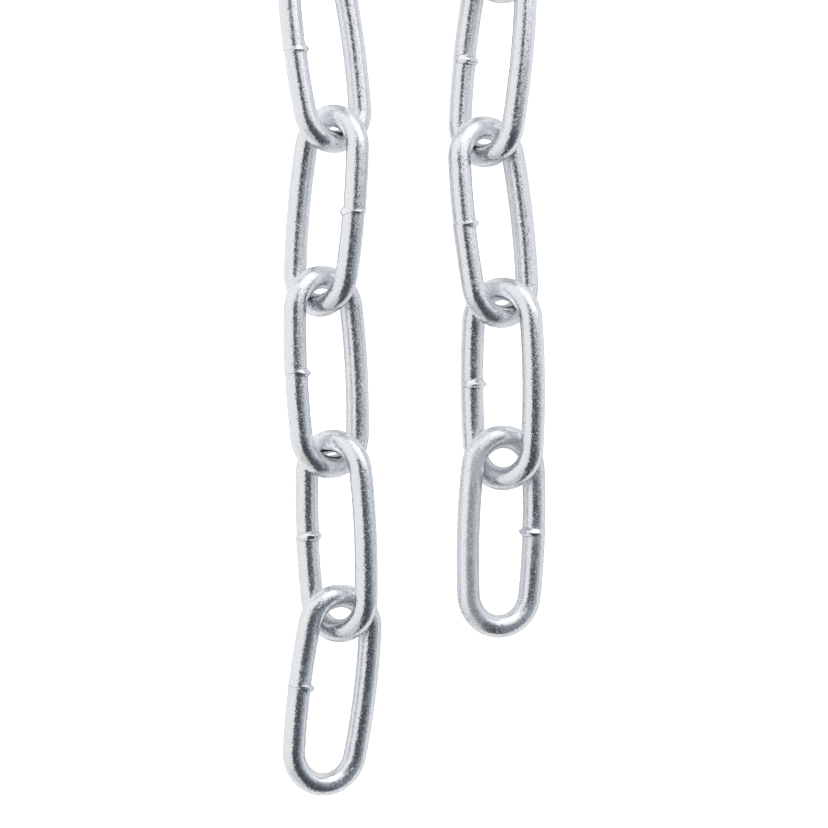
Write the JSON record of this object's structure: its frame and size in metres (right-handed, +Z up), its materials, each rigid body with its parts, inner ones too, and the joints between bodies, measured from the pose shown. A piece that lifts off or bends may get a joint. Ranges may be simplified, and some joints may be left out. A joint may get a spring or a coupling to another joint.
{
  "type": "length of long-link steel chain",
  "caption": "Length of welded long-link steel chain in bright zinc, laid doubled on a level floor with both free ends side by side.",
  "frame": {"origin": "middle of the underside of the whole laid length, on the floor", "axes": "+Y from the two free ends towards the bend, +X from the longer end to the shorter one, +Z up off the floor"},
  "size_m": [0.1172, 0.473, 0.0144],
  "materials": {
    "zinc_plated_steel": "bright electroplated zinc, cool silver with a fine sparkle, satin to glossy"
  },
  "bodies": {
    "root": {"chain_link_01": "zinc_plated_steel", "chain_link_02": "zinc_plated_steel", "chain_link_03": "zinc_plated_steel", "chain_link_04": "zinc_plated_steel", "chain_link_05": "zinc_plated_steel", "chain_link_06": "zinc_plated_steel", "chain_link_07": "zinc_plated_steel", "chain_link_08": "zinc_plated_steel", "chain_link_09": "zinc_plated_steel", "chain_link_10": "zinc_plated_steel", "chain_link_11": "zinc_plated_steel", "chain_link_12": "zinc_plated_steel", "chain_link_13": "zinc_plated_steel", "chain_link_14": "zinc_plated_steel", "chain_link_15": "zinc_plated_steel", "chain_link_16": "zinc_plated_steel", "chain_link_17": "zinc_plated_steel", "chain_link_18": "zinc_plated_steel", "chain_link_19": "zinc_plated_steel", "chain_link_20": "zinc_plated_steel", "chain_link_21": "zinc_plated_steel", "chain_link_22": "zinc_plated_steel", "chain_link_23": "zinc_plated_steel", "chain_link_24": "zinc_plated_steel", "chain_link_25": "zinc_plated_steel", "chain_link_26": "zinc_plated_steel", "chain_link_27": "zinc_plated_steel", "chain_link_28": "zinc_plated_steel"}
  },
  "joints": []
}
